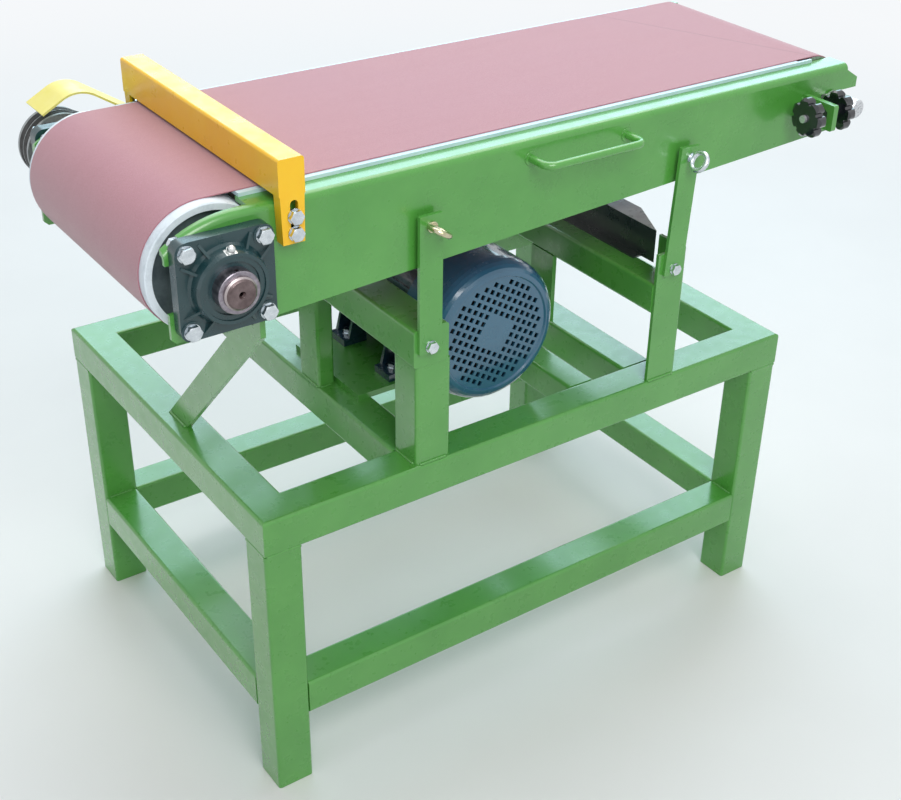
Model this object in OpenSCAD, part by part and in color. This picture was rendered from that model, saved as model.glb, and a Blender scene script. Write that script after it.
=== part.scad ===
// Belt sanding machine: a level sanding head on a welded square-tube stand,
// driven by a motor below it through a V-belt at the back.
// X runs along the sanding belt, Y from the operator's side to the back, Z up.

/* [Stand] */
// Length of the stand over its outer faces
stand_l = 1016; // [960:1:1080]
// Depth of the stand from front to back
stand_w = 685; // [650:1:760]
// Height of the stand's top face
stand_h = 512; // [480:1:540]
// Side of the square tube
tube_w = 60; // [54:1:66]
// Wall of the square tube
tube_wall = 3; // [2:0.5:5]
// Outer corner radius of the square tube
tube_r = 5; // [4:0.5:7]
// Height of the lower rails' top face
low_rail_top = 190; // [120:1:260]
// Plate that closes the foot of a leg
foot_t = 4; // [3:0.5:8]

/* [Cross members] */
// Left cross rail, its left face
cross_left_x = 250; // [230:1:256]
// Right cross rail, its left face
cross_right_x = 705; // [690:1:710]
// Motor rail, its left face
motor_rail_x = 592; // [585:1:610]
// Side of the motor rail's square tube
motor_rail_w = 50; // [40:1:60]

/* [Posts and beams] */
// Left front post, its left face
post_left_x = 258; // [252:1:262]
// Right front post, its left face
post_right_x = 710; // [706:1:716]
// Leg width of the right front post's angle
angle_w = 60; // [54:1:66]
// Thickness of the right front post's angle
angle_t = 6; // [4:0.5:8]
// Front face of the beam and of the right post
support_y = 3; // [2:0.5:5]
// Height of the left beam's underside over the stand
beam_up = 168; // [160:1:176]
// Left beam, its left face
beam_left_x = 252; // [248:1:256]
// Side of the right beam's square tube
beam_right_w = 50; // [46:1:54]
// Height of the right beam's top face over the stand
beam_right_up = 175; // [160:1:183]
// Thickness of the end plates on the beams
cap_t = 6; // [4:0.5:8]
// Rear posts, their front faces
rear_post_y = 279; // [260:1:300]
// Depth of the rear posts
rear_post_w = 60; // [50:1:66]
// Thickness of the left rear post's tube
rear_post_t = 30; // [25:1:40]
// Thickness of the right rear post's flat bar
rear_bar_t = 8; // [6:0.5:10]
// How far the right rear post stands in front of the left one
rear_bar_step = 20; // [0:1:30]

/* [Links] */
// Width of a link bar
link_w = 38; // [34:1:44]
// Thickness of a link bar
link_t = 6; // [5:0.5:8]
// Lower bolt of a link, up from its lower end
link_bolt_up = 11; // [11:0.5:16]
// Upper bolt of a link, down from its upper end
link_bolt_down = 17; // [12:0.5:20]
// Height of the links' lower bolts over the left beam's underside
link_bolt_in = 33; // [28:1:38]
// Depth of the links' upper bolts below the platen's top face
link_top_drop = 87; // [82:1:92]
// Left link's centre line
link_left_x = 277; // [274:1:284]
// Right link's lower bolt
link_right_x = 739; // [734:1:744]
// Lean of the right link, degrees
link_lean = 3; // [0:0.5:5]
// Diameter of the link bolts and eye bolts
link_bolt_d = 10; // [8:1:12]

/* [Head] */
// Outer face of the front side plate
head_y = 12; // [10:0.5:16]
// Thickness of the side plates
plate_t = 6; // [4:0.5:8]
// Height of the platen's top face over the stand
platen_up = 472; // [460:1:490]
// Thickness of the platen
platen_t = 5; // [3:0.5:6]
// Outer radius of the side plates' top bend
bend_r = 10; // [8:0.5:12]
// Width of the front side plate's top flange
flange_front = 42; // [38:0.5:42]
// Width of the rear side plate's top flange
flange_rear = 20; // [18:0.5:21]
// Lip that follows the rounded corner
lip_w = 12; // [11:0.5:16]
// Left end of the side plates
plate_left = -100; // [-106:1:-96]
// Right end of the side plates
plate_right = 1126; // [1110:1:1140]
// Radius of the side plates' rounded corner over the drum
corner_r = 175; // [150:1:220]
// Depth of the side plates' lower edge at the drum, below the platen's top face
plate_drop = 162; // [156:1:169]
// Rise of the lower edge towards the idler
plate_rise = 53; // [45:1:60]
// Lower edge stays level as far as this
plate_level_x = 46; // [30:1:60]
// Overlap of the front flange by the platen
platen_lap = 5.5; // [2:0.5:8]
// Side of the head's cross ties
tie_w = 40; // [30:1:45]
// Clearance between fixed pieces that only touch
seat_gap = 0.3; // [0.1:0.05:0.5]

/* [Drum and sanding belt] */
// Centre of the drum along the machine
drum_x = -28; // [-34:1:-24]
// Outer diameter of the drum
drum_d = 176; // [168:1:180]
// Wall of the drum
drum_wall = 10; // [6:0.5:14]
// Bare rim of the drum in front of the sanding belt
drum_rim = 16.5; // [14:0.5:18]
// Bare rim of the drum behind the sanding belt
drum_rim_rear = 9.5; // [8:0.5:12]
// How far the drum's end discs are set in
disc_in = 14; // [8:1:30]
// Thickness of the drum's end discs
disc_t = 10; // [6:1:14]
// Near edge of the sanding belt
belt_y = 57; // [55:0.5:60]
// Width of the sanding belt
belt_w = 358; // [352:1:361]
// Distance from the sanding belt to the rear side plate's outer face
belt_rear = 25; // [23:0.5:30]
// Thickness of the sanding belt
belt_t = 1.5; // [1:0.1:3]
// Gap between a belt and what it runs on
belt_gap = 0.3; // [0.2:0.05:0.5]
// Diameter of the drum shaft in its bearings
shaft_d = 45; // [40:1:45]
// Diameter of the drum shaft at its pulley
shaft_end_d = 38; // [30:1:40]
// How far the shaft stands out of the front side plate
shaft_out = 58; // [55:0.5:62]

/* [Flange bearings] */
// Side of the square bearing flange
flange_sq = 133; // [130:1:140]
// Distance between the flange's bolts
flange_pitch = 105; // [103:0.5:107]
// Thickness of the bearing flange
flange_t = 18; // [15:0.5:20]
// Depth of the bearing's round boss
boss_h = 38; // [36:0.5:42]
// Diameter of the boss at its front
boss_d = 98; // [96:1:104]
// Outer diameter of the bearing insert
insert_d = 85; // [82:0.5:88]
// Outer diameter of the bearing's inner ring
inner_ring_d = 57; // [54:0.5:60]
// How far the inner ring reaches from the plate
inner_ring_out = 51; // [48:0.5:52]
// Diameter of the flange bolts
flange_bolt_d = 12; // [12:1:16]

/* [Idler] */
// Centre of the idler along the machine
idler_x = 1066; // [1060:1:1072]
// Outer diameter of the idler roller
idler_d = 114; // [108:1:116]
// Wall of the idler roller
idler_wall = 8; // [5:0.5:12]
// How far the idler roller reaches past the sanding belt at each side
idler_over = 2; // [1:0.5:3]
// Diameter of the idler shaft
idler_shaft_d = 30; // [26:1:32]
// Thickness of the shaft across its flats
idler_flat = 20; // [16:0.5:22]
// How far the idler shaft stands out of each side plate
idler_shaft_out = 60; // [56:1:66]
// Outer diameter of the idler's ball bearings
idler_brg_d = 62; // [55:1:66]
// Width of the idler's ball bearings
idler_brg_w = 16; // [12:1:18]
// Slack travel of the idler
idler_travel = 5; // [3:0.5:5.5]

/* [Belt tension] */
// Distance of the tension rod from the side plate
rod_out = 45; // [42:0.5:48]
// Diameter of the tension rod
rod_d = 12; // [10:1:12]
// Left end of the tension rod
rod_left_x = 954; // [940:1:956]
// Tension bracket, its left face
bracket_x = 1000; // [996:1:1004]
// Thickness of the tension bracket
bracket_t = 10; // [8:1:12]
// How far the tension bracket stands out
bracket_out = 67; // [64:1:72]
// Height of the tension bracket
bracket_h = 42; // [36:1:46]
// Diameter of a star knob
knob_d = 64; // [56:1:66]
// Number of lobes on a star knob
knob_lobes = 7; // [5:1:9]
// Thickness of a star knob's grip
knob_t = 18; // [14:1:18]
// Length of a star knob's steel boss
knob_boss = 17; // [10:1:17]
// Thickness of the nut between the bracket and the left knob
jam_nut = 6; // [5:1:8]

/* [Fence] */
// Left face of the fence
fence_x = 49; // [48:0.5:60]
// Width of the fence
fence_w = 37; // [36:0.5:46]
// Height of the fence's top over the platen
fence_up = 55; // [44:0.5:60]
// Gap under the fence, over the platen
fence_gap = 6; // [5.5:0.1:7]
// Sheet thickness of the fence
fence_wall = 3; // [2.5:0.5:4]
// Width of the fence's cheeks at their lower end
cheek_w = 31; // [30:0.5:36]
// Depth of the fence's cheeks
cheek_d = 17; // [15:0.5:20]
// Depth of the cheeks' lower end below the platen's top face
cheek_drop = 59; // [56:1:66]
// Depth of the lower fence bolt below the platen's top face
fence_bolt_drop = 45; // [42:1:47]
// Distance between the two fence bolts
fence_bolt_pitch = 23; // [21:0.5:24]
// Diameter of the fence bolts
fence_bolt_d = 11; // [10:1:12]
// Length of the cheek's slot
slot_l = 54; // [50:1:58]

/* [Handle] */
// Left foot of the lifting handle
handle_x = 453; // [440:1:470]
// Length of the lifting handle
handle_l = 176; // [150:1:200]
// Depth of the lifting handle below the platen's top face
handle_drop = 32; // [28:1:42]
// How far the handle stands out
handle_out = 40; // [32:1:50]
// Diameter of the handle's round bar
handle_d = 12; // [10:1:14]

/* [Brace] */
// Left face of the brace
brace_x = 24; // [20:1:28]
// Thickness of the brace
brace_t = 8; // [6:0.5:10]
// Width of the brace
brace_w = 43; // [40:1:48]
// Foot of the brace, its front edge
brace_foot_y = 286; // [280:1:292]
// Depth of the brace's front edge below the side plate's lower edge
brace_drop = 31; // [27:1:34]

/* [Motor] */
// Motor axis along the machine
motor_x = 464; // [458:1:470]
// Height of the motor's axis over its feet
motor_h = 112; // [110:1:116]
// Distance from the fan cover's front to the middle of the belt drive
motor_reach = 445; // [435:1:455]
// Radius of the fan cover
cover_r = 119; // [116:0.5:120]
// Radius of the fan cover's flat face
cover_face_r = 99; // [97:0.5:102]
// Depth of the fan cover's rounded shoulder
cover_dome = 30; // [20:1:40]
// Length of the fan cover
cover_l = 95; // [85:1:100]
// Sheet thickness of the fan cover
cover_t = 2.5; // [2:0.5:4]
// Length of the finned frame
frame_l = 248; // [240:1:260]
// Radius over the fins
fin_r = 112; // [109:0.5:113]
// Radius between the fins
frame_r = 100; // [96:0.5:102]
// Bore of the frame
frame_bore_r = 88; // [84:0.5:90]
// Number of cooling fins
fins = 40; // [24:1:44]
// Thickness of a cooling fin
fin_t = 3; // [2:0.5:4]
// Length of the drive-end shield
shield_l = 42; // [36:1:50]
// Diameter of the motor shaft
motor_shaft_d = 28; // [24:1:30]
// Pitch of the holes in the fan cover
grille_pitch = 12.9; // [11:0.1:14]
// Side of a hole in the fan cover
grille_hole = 7.6; // [6:0.1:8]
// Radius of the pierced field
grille_r = 95; // [90:1:96]
// Side of the blank square in the middle, in holes
grille_blank = 4; // [2:2:6]
// Turn of the rows of holes, degrees
grille_turn = 31.6; // [0:0.1:45]
// Distance between the feet's bolts across the motor
foot_a = 190; // [180:1:200]
// Distance between the feet's bolts along the motor
foot_b = 140; // [130:1:150]
// Thickness of the motor's base plate
base_t = 10; // [8:1:12]

/* [Belt drive] */
// Distance from the rear side plate to the middle of the belt drive
vbelt_out = 96; // [92:0.5:100]
// Outer radius of the drum's pulley
pulley_r = 55; // [52:0.5:60]
// Outer radius of the motor's pulley
motor_pulley_r = 60; // [54:0.5:66]
// Width of a pulley
pulley_w = 40; // [38:0.5:42]
// Distance between the two V-belts
vbelt_pitch = 15; // [15:0.5:17]
// Width of a V-belt at its back
vbelt_w = 13; // [12:0.5:13]
// Height of a V-belt
vbelt_h = 8; // [7:0.5:9]
// Half angle of the V
vee = 19; // [17:0.5:20]
// Width of the guard strip
guard_w = 64; // [58:1:68]
// Distance from the rear side plate to the guard strip
guard_out = 56; // [52:1:60]
// Thickness of the guard strip
guard_t = 3; // [2:0.5:4]
// Radius of the guard strip's crest
guard_r = 50; // [46:1:56]
// Height of the guard strip's crest over the platen's top face
guard_up = 2; // [0:1:6]

/* [Mitred channel] */
// Left face of the mitred channel
duct_x = 764; // [760:1:772]
// Width of the mitred channel
duct_w = 40; // [36:1:48]
// Height of the mitred channel
duct_h = 57; // [50:1:58]
// Front end of the mitred channel on its left side
duct_y = 70; // [66:1:76]
// Length of its mitred front end
duct_mitre = 83; // [70:1:90]
// Sheet thickness of the mitred channel
duct_t = 3; // [2:0.5:4]
// Width of the foot it is fixed by
duct_foot = 18; // [14:1:22]

/* [Hidden] */
$fn = 64;
eps = 0.01;
over = 1;                                    // how far a cut runs past a face

beam_z = stand_h + beam_up;
beam_right_top = stand_h + beam_right_up;
platen_z = stand_h + platen_up;
plate_low = platen_z - plate_drop;
link_bolt_z = beam_z + link_bolt_in;
link_pitch = platen_z - link_top_drop - link_bolt_z;
link_l = link_pitch + link_bolt_up + link_bolt_down;
drum_y = belt_y - drum_rim;
drum_l = drum_rim + belt_w + drum_rim_rear;
idler_y = belt_y - idler_over;
idler_l = belt_w + 2 * idler_over;
head_w = belt_y - head_y + belt_w + belt_rear;
head_y2 = head_y + head_w;                   // outer face of the rear side plate
vbelt_y = head_y2 + vbelt_out;
guard_y = head_y2 + guard_out;
guard_z = platen_z + guard_up;
motor_y = vbelt_y - motor_reach;
cheek_z = platen_z - cheek_drop;
fence_bolt_z = platen_z - fence_bolt_drop;
handle_z = platen_z - handle_drop;
brace_top_z = plate_low - brace_drop;
plate_top = platen_z - platen_t;             // top of the side plates' flanges
drum_r = drum_d / 2;
drum_z = platen_z - drum_r;
idler_r = idler_d / 2;
idler_z = platen_z - idler_r;
shaft_r = shaft_d / 2;
motor_z = stand_h + base_t + motor_h;
frame_y = motor_y + cover_l;                 // front end of the finned frame
frame_y2 = frame_y + frame_l;
beam_y2 = head_y2 + head_y - support_y;      // rear end of the beams
duct_z = beam_right_top;
run_fit = 0.08;                              // radial clearance of a turning fit
rod_y1 = head_y - rod_out;
rod_y2 = head_y2 + rod_out;
pulley_y = vbelt_y - pulley_w / 2;
bolt_af = 1.6;                               // width across a hexagon per diameter
bolt_k = 0.65;                               // height of a hexagon per diameter

origin_x = (min(drum_x - drum_r - belt_gap - belt_t, plate_left) + plate_right) / 2;
origin_y = (rod_y1 - knob_d / 2 + stand_w) / 2;

// Moves a piece from the stand's corner to the machine's own origin
module seat() translate([-origin_x, -origin_y, 0]) children();

// Extrudes an outline drawn in X and Z from y0 towards the back
module along_y(y0, len) translate([0, y0 + len, 0]) rotate([90, 0, 0]) linear_extrude(len) children();

// Extrudes an outline drawn in Y and Z from x0 to the right
module along_x(x0, len) translate([x0, 0, 0]) rotate([90, 0, 90]) linear_extrude(len) children();

module rod_y(r, y0, len) translate([0, y0 + len, 0]) rotate([90, 0, 0]) cylinder(r = r, h = len);
module rod_x(r, x0, len) translate([x0, 0, 0]) rotate([0, 90, 0]) cylinder(r = r, h = len);

// Revolves a profile of radius and depth about Y, depth running to the back
module turn_y() rotate([-90, 0, 0]) rotate_extrude() children();

module rounded(w, h, r) {
    translate([r, 0]) square([w - 2 * r, h]);
    translate([0, r]) square([w, h - 2 * r]);
    for (x = [r, w - r], y = [r, h - r]) translate([x, y]) circle(r);
}

module tube_section(w, h, t) difference() {
    rounded(w, h, tube_r);
    translate([t, t]) rounded(w - 2 * t, h - 2 * t, tube_r - t + 0.5);
}

module tube_x(x0, y, z, len, w, t) translate([0, y, z]) along_x(x0, len) tube_section(w, w, t);
module tube_y(x, y0, z, len, w, t) translate([x, 0, z]) along_y(y0, len) tube_section(w, w, t);

// Hexagon head or nut on a Y axis, from y0 for height h
module hex_y(d, y0, h) translate([0, y0 + h, 0]) rotate([90, 0, 0]) intersection() {
    cylinder(d = d * bolt_af / cos(30), h = h, $fn = 6);
    rotate_extrude() polygon([[0, 0], [d * bolt_af / 2, 0], [d * bolt_af / 2 / cos(30), d * 0.05],
        [d * bolt_af / 2 / cos(30), h - d * 0.08], [d * bolt_af / 2 * 0.94, h], [0, h]]);
}

// Bolt on a Y axis whose head stands in front of y0, with a nut behind y1
module bolt_y(d, y0, y1, washer = 2) {
    head = d * bolt_k;
    rod_y(d / 2, y0 - washer - head + eps, y1 - y0 + washer + 2 * head);
    hex_y(d, y0 - washer - head, head);
    rod_y(d * 0.94, y0 - washer, washer);
    hex_y(d, y1, head);
}

// Stand

module leg(x, y) {
    translate([x, y, 0]) linear_extrude(stand_h - tube_w) tube_section(tube_w, tube_w, tube_wall);
    translate([x, y, 0]) linear_extrude(foot_t) rounded(tube_w, tube_w, tube_r);
}

right_x = stand_l - tube_w;
rear_y = stand_w - tube_w;

module leg_front_left() seat() color("forestgreen") leg(0, 0);
module leg_front_right() seat() color("forestgreen") leg(right_x, 0);
module leg_rear_left() seat() color("forestgreen") leg(0, rear_y);
module leg_rear_right() seat() color("forestgreen") leg(right_x, rear_y);

// Cuts a rail of length len at 45 degrees at both ends, its long side at the outside
module mitre_x(len) intersection() {
    children();
    translate([0, 0, -over]) linear_extrude(tube_w + 2 * over)
        polygon([[0, 0], [len, 0], [len - tube_w, tube_w], [tube_w, tube_w]]);
}

module upper_rail(len) mitre_x(len) tube_x(0, 0, 0, len, tube_w, tube_wall);

module rail_upper_front() seat() color("forestgreen")
    translate([0, 0, stand_h - tube_w]) upper_rail(stand_l);
module rail_upper_rear() seat() color("forestgreen")
    translate([0, stand_w, stand_h - tube_w]) mirror([0, 1, 0]) upper_rail(stand_l);
module rail_upper_left() seat() color("forestgreen")
    translate([0, stand_w, stand_h - tube_w]) rotate([0, 0, -90]) upper_rail(stand_w);
module rail_upper_right() seat() color("forestgreen")
    translate([stand_l, 0, stand_h - tube_w]) rotate([0, 0, 90]) upper_rail(stand_w);

low_z = low_rail_top - tube_w;

module rail_lower_front() seat() color("forestgreen")
    tube_x(tube_w, 0, low_z, stand_l - 2 * tube_w, tube_w, tube_wall);
module rail_lower_rear() seat() color("forestgreen")
    tube_x(tube_w, rear_y, low_z, stand_l - 2 * tube_w, tube_w, tube_wall);
module rail_lower_left() seat() color("forestgreen")
    tube_y(0, tube_w, low_z, stand_w - 2 * tube_w, tube_w, tube_wall);
module rail_lower_right() seat() color("forestgreen")
    tube_y(right_x, tube_w, low_z, stand_w - 2 * tube_w, tube_w, tube_wall);

module cross_rail(x, w) tube_y(x, tube_w, stand_h - w, stand_w - 2 * tube_w, w, tube_wall);
module cross_rail_left() seat() color("forestgreen") cross_rail(cross_left_x, tube_w);
module cross_rail_right() seat() color("forestgreen") cross_rail(cross_right_x, tube_w);
module motor_rail() seat() color("forestgreen") cross_rail(motor_rail_x, motor_rail_w);

// Posts, beams and brace

foot_mid_y = frame_y + frame_l / 2;
base_w = foot_b + 60;
base_x = beam_left_x + rear_post_t + 2;
base_l = motor_rail_x + motor_rail_w - 10 - base_x;
foot_bolt_d = 10;

module at_motor_feet() for (sx = [-1, 1], sy = [-1, 1])
    translate([motor_x + sx * foot_a / 2, foot_mid_y + sy * foot_b / 2, 0]) children();

module motor_base_plate() seat() color("forestgreen") difference() {
    translate([base_x, foot_mid_y - base_w / 2, stand_h]) cube([base_l, base_w, base_t]);
    at_motor_feet() translate([0, 0, stand_h - over])
        cylinder(d = foot_bolt_d + 1, h = base_t + 2 * over);
}

module post_front_left() seat() color("forestgreen")
    translate([post_left_x, support_y + 2, stand_h])
        linear_extrude(beam_z - stand_h) tube_section(tube_w, tube_w, tube_wall);

angle_r = 5;
angle_top = beam_z + tube_w;

// Angle whose two legs meet in a rounded outer corner at the right front
module post_front_right() seat() color("forestgreen") difference() {
    translate([post_right_x, support_y, stand_h]) linear_extrude(angle_top - stand_h) difference() {
        union() {
            square([angle_w - angle_r, angle_w]);
            translate([0, angle_r]) square([angle_w, angle_w - angle_r]);
            translate([angle_w - angle_r, angle_r]) circle(angle_r);
        }
        translate([-over, angle_t]) square([angle_w - angle_t + over, angle_w]);
    }
    translate([link_right_x, 0, link_bolt_z])
        rod_y(link_bolt_d / 2 + run_fit, support_y - over, angle_t + 2 * over);
}

module post_rear_left() seat() color("forestgreen")
    translate([beam_left_x, rear_post_y, stand_h]) linear_extrude(beam_z - stand_h)
        tube_section(rear_post_t, rear_post_w, tube_wall);

module post_rear_right() seat() color("forestgreen")
    translate([post_right_x - 2, rear_post_y - rear_bar_step, stand_h])
        cube([rear_bar_t, rear_post_w, beam_right_top - beam_right_w - stand_h]);

// Tube along Y, closed by a plate at each end
module capped_beam(x, z, w, y0, y1) {
    tube_y(x, y0, z, y1 - y0, w, tube_wall);
    for (y = [y0, y1 - cap_t]) translate([x, 0, z]) along_y(y, cap_t) rounded(w, w, tube_r);
}

module link_bolt_bore(x) translate([x, 0, link_bolt_z])
    rod_y(link_bolt_d / 2 + run_fit, support_y - over, beam_y2 - support_y + 2 * over);

module beam_left() seat() color("forestgreen") difference() {
    capped_beam(beam_left_x, beam_z, tube_w, support_y, beam_y2);
    link_bolt_bore(link_left_x);
}

// The right beam carries a hanger plate at its rear end for the rear link
module beam_right() seat() color("forestgreen") difference() {
    union() {
        capped_beam(post_right_x - 2, beam_right_top - beam_right_w, beam_right_w,
            support_y + angle_t, beam_y2 - cap_t);
        translate([post_right_x, beam_y2 - cap_t, beam_right_top - beam_right_w])
            cube([angle_w, cap_t, angle_top - beam_right_top + beam_right_w]);
    }
    translate([link_right_x, 0, link_bolt_z])
        rod_y(link_bolt_d / 2 + run_fit, beam_y2 - cap_t - over, cap_t + 2 * over);
}

brace_end_y = head_y + plate_t;
brace_run = brace_foot_y - brace_end_y;
brace_rise = brace_top_z - stand_h;
brace_depth = brace_w * norm([brace_run, brace_rise]) / brace_rise;
brace_high = brace_w * norm([brace_run, brace_rise]) / brace_run;

brace_lap = plate_low + 7;                   // top of the brace behind the side plate
brace_in = drum_y - 4;                       // the brace keeps in front of the drum
brace_under = plate_low - 20;                // and under the sanding belt

// Flat bar that leans from the left rail up to the front side plate, clear of the drum
module head_brace() seat() color("forestgreen") along_x(brace_x, brace_t) difference() {
    polygon([[brace_foot_y, stand_h], [brace_foot_y + brace_depth, stand_h],
        [brace_end_y, brace_top_z + brace_high], [brace_end_y, brace_top_z]]);
    translate([brace_end_y - over, brace_lap]) square(brace_high);
    translate([brace_in, brace_under]) square(brace_high);
}

duct_len = beam_y2 - cap_t - duct_y - 20;

// Folded channel beside the right beam, open below, its front end mitred
module mitred_channel() seat() color("slategray") difference() {
    union() {
        translate([duct_x, duct_y, duct_z]) cube([duct_w, duct_len, duct_h]);
        translate([duct_x - duct_foot, duct_y + 30, duct_z])
            cube([duct_foot + over, duct_len - 60, duct_t]);
    }
    translate([duct_x + duct_t, duct_y - over, duct_z - over])
        cube([duct_w - 2 * duct_t, duct_len + 2 * over, duct_h - duct_t + over]);
    translate([duct_x, duct_y, duct_z - over]) linear_extrude(duct_h + 2 * over)
        polygon([[0, 0], [duct_w + over, duct_mitre * (duct_w + over) / duct_w],
            [duct_w + over, -over], [0, -over]]);
}

// Links

link_y = support_y - link_t;                 // front face of the front links
spacer_l = head_y - support_y;

module link_bar(x, lean) translate([x, 0, link_bolt_z]) rotate([0, lean, 0]) along_y(0, link_t)
    difference() {
        translate([-link_w / 2, -link_bolt_up]) rounded(link_w, link_l, 2);
        circle(link_bolt_d / 2 + run_fit);
        translate([0, link_pitch]) circle(link_bolt_d / 2 + run_fit);
    }

// Places children at the upper bolts of the two links
module at_link_top(i) translate([i == 0 ? link_left_x : link_right_x, 0, link_bolt_z])
    rotate([0, i == 0 ? 0 : link_lean, 0]) translate([0, 0, link_pitch]) children();

module links() seat() color("forestgreen") for (y = [link_y, beam_y2]) translate([0, y, 0]) {
    link_bar(link_left_x, 0);
    link_bar(link_right_x, link_lean);
}

// Round distance piece between a link and its side plate
module spacer(y0) along_y(y0, spacer_l) difference() {
    circle(link_bolt_d);
    circle(link_bolt_d / 2 + run_fit);
}

module link_bolts() seat() color("gainsboro") {
    translate([link_left_x, 0, link_bolt_z]) bolt_y(link_bolt_d, link_y, support_y + cap_t);
    translate([link_right_x, 0, link_bolt_z]) bolt_y(link_bolt_d, link_y, support_y + angle_t);
    for (x = [link_left_x, link_right_x]) translate([x, beam_y2 + link_t, link_bolt_z])
        mirror([0, 1, 0]) bolt_y(link_bolt_d, 0, link_t + cap_t);
    for (i = [0, 1]) at_link_top(i) {
        spacer(support_y);
        spacer(head_y2);
        translate([0, beam_y2 + link_t, 0]) mirror([0, 1, 0])
            bolt_y(link_bolt_d, 0, link_t + spacer_l + plate_t);
        difference() {
            hex_y(link_bolt_d, head_y + plate_t, link_bolt_d * bolt_k);
            rod_y(link_bolt_d / 2 + run_fit, head_y, 4 * link_bolt_d);
        }
    }
}

eye_bar = 8;
eye_r = 14;                                  // middle radius of the eye
collar_t = 3;

// Eye bolt on a Y axis, its eye turned to an angle, its collar in front of the link
module eye_bolt(turn) {
    rod_y(link_bolt_d / 2, link_y - collar_t - 2, link_t + spacer_l + plate_t + collar_t + 10);
    rod_y(link_bolt_d * 0.8, link_y - collar_t - seat_gap, collar_t);
    translate([0, link_y - collar_t - seat_gap - eye_r - eye_bar / 2 + 1.5, 0]) rotate([0, turn, 0])
        rotate_extrude() translate([eye_r, 0]) circle(eye_bar / 2);
}

module eye_bolt_left() seat() color("silver") at_link_top(0) eye_bolt(30);
module eye_bolt_right() seat() color("silver") at_link_top(1) eye_bolt(-62);

// Head

corner_z = plate_top - corner_r;             // centre height of the rounded corner
corner_in = corner_r - bend_r;
corner_sweep = asin(min(0.99, -plate_left / corner_in)) + 2;
end_chamfer = 26;                            // length of the chamfer at the right end
notch_x = drum_x + sqrt(pow(drum_r + 2, 2) - pow(plate_top - plate_t - drum_z, 2));
slot_in = idler_x - idler_travel - idler_shaft_d / 2 - 2;
hub_slot_r = 33;                             // half width of the slot for the drum shaft

module plate_outline() difference() {
    union() {
        polygon([
            [plate_left, plate_low + 6], [plate_left + 6, plate_low], [plate_level_x, plate_low],
            [plate_right, plate_low + plate_rise],
            [plate_right, plate_top - bend_r - end_chamfer * 0.6],
            [plate_right - end_chamfer, plate_top - bend_r], [0, plate_top - bend_r],
            [0, corner_z + corner_in * 0.5], [plate_left, corner_z + corner_in * 0.5]
        ]);
        intersection() {
            translate([0, corner_z]) circle(corner_in);
            translate([plate_left, plate_low + 6])
                square([-plate_left + eps, plate_top - plate_low]);
        }
    }
    translate([drum_x, drum_z]) circle(hub_slot_r);
    translate([plate_left - over, drum_z - hub_slot_r])
        square([drum_x - plate_left + over, 2 * hub_slot_r]);
    translate([slot_in, idler_z - idler_flat / 2 - run_fit])
        square([plate_right - slot_in + over, idler_flat + 2 * run_fit]);
    for (sx = [-1, 1], sz = [-1, 1])
        translate([drum_x + sx * flange_pitch / 2, drum_z + sz * flange_pitch / 2])
            circle(flange_bolt_d / 2 + run_fit);
    for (z = [0, fence_bolt_pitch]) translate([fence_bolt_x, fence_bolt_z + z])
        circle(fence_bolt_d / 2 + run_fit);
    for (p = [[link_left_x, 0], [link_right_x, link_lean]]) translate([p[0], link_bolt_z])
        rotate(-p[1]) translate([0, link_pitch]) circle(link_bolt_d / 2 + run_fit);
}

// Section of the bend and of a flange of width w, measured in from the outer face
module bend_section(w) {
    intersection() {
        difference() {
            translate([bend_r, 0]) circle(bend_r);
            translate([bend_r, 0]) circle(bend_r - plate_t);
        }
        square(bend_r);
    }
    translate([bend_r - eps, bend_r - plate_t]) square([w - bend_r + eps, plate_t]);
}

nut_clear_r = flange_bolt_d * bolt_af / 2 / cos(30) + 1;

// Side plate with its outer face at y = 0 and its flange turned in towards +Y
module side_plate(flange) difference() {
    side_sheet(flange);
    translate([drum_x - flange_pitch / 2, 0, drum_z + flange_pitch / 2]) {
        rod_y(flange_bolt_d / 2 + run_fit, -over, plate_t + 2 * over);
        rod_y(nut_clear_r, plate_t, lip_w);
    }
}

module side_sheet(flange) {
    along_y(0, plate_t) plate_outline();
    top_l = plate_right - end_chamfer;
    translate([0, 0, plate_top - bend_r]) {
        along_x(-eps, top_l) bend_section(lip_w);
        along_x(notch_x, top_l - notch_x) bend_section(flange);
    }
    intersection() {
        translate([0, 0, corner_z]) rotate([90, 0, 0]) rotate([0, 0, 90])
            rotate_extrude(angle = corner_sweep, $fn = 128)
                translate([corner_in, 0]) rotate(-90) mirror([0, 0]) bend_section(lip_w);
        translate([plate_left, -over, plate_low])
            cube([-plate_left + over, lip_w + 2 * over, corner_r * 2]);
    }
}

module side_plate_front() seat() color("forestgreen")
    translate([0, head_y, 0]) side_plate(flange_front);
module side_plate_rear() seat() color("forestgreen")
    translate([0, head_y2, 0]) mirror([0, 1, 0]) side_plate(flange_rear);

platen_y = head_y + flange_front - platen_lap;
platen_y2 = head_y2 - flange_rear + 3;
platen_x = notch_x + 2;
platen_x2 = idler_x - idler_r * 0.74;
ear_w = idler_y - 2 - platen_y;

module platen() seat() color("lightsteelblue") {
    translate([platen_x, platen_y, plate_top])
        cube([platen_x2 - platen_x, platen_y2 - platen_y, platen_t]);
    translate([platen_x, platen_y, plate_top])
        cube([idler_x - 14 - platen_x, ear_w, platen_t]);
}

tie_at = [170, 480, 790];

module head_ties() seat() color("forestgreen") for (x = tie_at)
    tube_y(x, head_y + plate_t, plate_top - bend_r - tie_w, head_w - 2 * plate_t, tie_w, tube_wall);

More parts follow.
